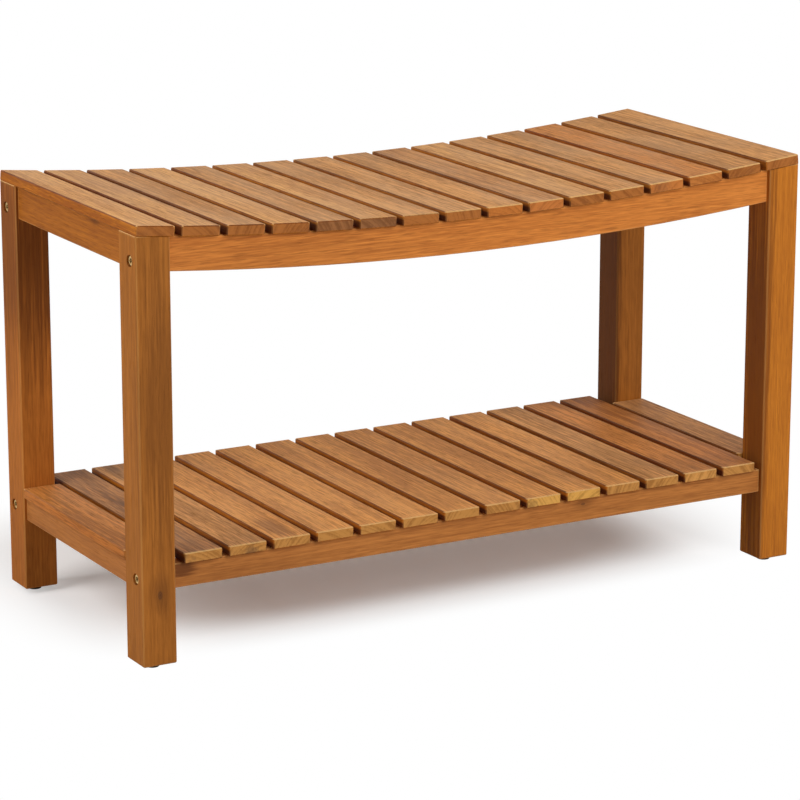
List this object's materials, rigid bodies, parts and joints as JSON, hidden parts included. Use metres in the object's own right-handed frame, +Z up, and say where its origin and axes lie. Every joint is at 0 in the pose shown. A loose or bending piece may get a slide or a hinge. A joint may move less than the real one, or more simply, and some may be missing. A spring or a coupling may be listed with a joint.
{
  "type": "slatted bench",
  "caption": "Two-tier wooden shower bench with a bowed slatted seat on four square legs and a slatted shelf near the floor.",
  "frame": {"origin": "on the floor under the middle of the seat, at the middle of the bounding box's bottom face", "axes": "+X along the bench to the right as seen from the front, +Y from front to rear, +Z up"},
  "size_m": [0.8, 0.342, 0.4648],
  "materials": {
    "leg_wood": "oiled teak, satin, grain upright",
    "rail_wood": "oiled teak, satin, grain along the rail",
    "slat_wood_1": "oiled teak, satin, grain along the slat",
    "slat_wood_2": "oiled teak, satin, grain along the slat",
    "slat_wood_3": "oiled teak, satin, grain along the slat",
    "slat_wood_4": "oiled teak, satin, grain along the slat",
    "slat_wood_5": "oiled teak, satin, grain along the slat",
    "dowel_wood": "bare pale hardwood",
    "bolt_brass": "yellow zinc plate, satin",
    "screw_steel": "bright plated steel",
    "foot_rubber": "matte black"
  },
  "bodies": {
    "root": {"leg_front_left": "leg_wood", "leg_front_right": "leg_wood", "leg_rear_left": "leg_wood", "leg_rear_right": "leg_wood", "foot_front_left": "foot_rubber", "foot_front_right": "foot_rubber", "foot_rear_left": "foot_rubber", "foot_rear_right": "foot_rubber", "seat_rail_front": "rail_wood", "seat_rail_rear": "rail_wood", "shelf_rail_front": "rail_wood", "shelf_rail_rear": "rail_wood", "upper_end_rail_left": "rail_wood", "upper_end_rail_right": "rail_wood", "lower_end_rail_left": "rail_wood", "lower_end_rail_right": "rail_wood", "seat_slat_01": "slat_wood_2", "seat_slat_02": "slat_wood_5", "seat_slat_03": "slat_wood_3", "seat_slat_04": "slat_wood_1", "seat_slat_05": "slat_wood_4", "seat_slat_06": "slat_wood_2", "seat_slat_07": "slat_wood_5", "seat_slat_08": "slat_wood_3", "seat_slat_09": "slat_wood_1", "seat_slat_10": "slat_wood_4", "seat_slat_11": "slat_wood_2", "seat_slat_12": "slat_wood_5", "seat_slat_13": "slat_wood_3", "seat_slat_14": "slat_wood_1", "seat_slat_15": "slat_wood_4", "seat_slat_16": "slat_wood_2", "shelf_slat_01": "slat_wood_4", "shelf_slat_02": "slat_wood_1", "shelf_slat_03": "slat_wood_3", "shelf_slat_04": "slat_wood_5", "shelf_slat_05": "slat_wood_2", "shelf_slat_06": "slat_wood_4", "shelf_slat_07": "slat_wood_1", "shelf_slat_08": "slat_wood_3", "shelf_slat_09": "slat_wood_5", "shelf_slat_10": "slat_wood_2", "shelf_slat_11": "slat_wood_4", "shelf_slat_12": "slat_wood_1", "shelf_slat_13": "slat_wood_3", "shelf_slat_14": "slat_wood_5", "shelf_slat_15": "slat_wood_2", "shelf_slat_16": "slat_wood_4", "frame_bolts": "bolt_brass", "barrel_nuts": "bolt_brass", "dowels": "dowel_wood", "seat_slat_screws": "screw_steel", "shelf_slat_screws": "screw_steel", "foot_screws": "screw_steel"}
  },
  "joints": []
}
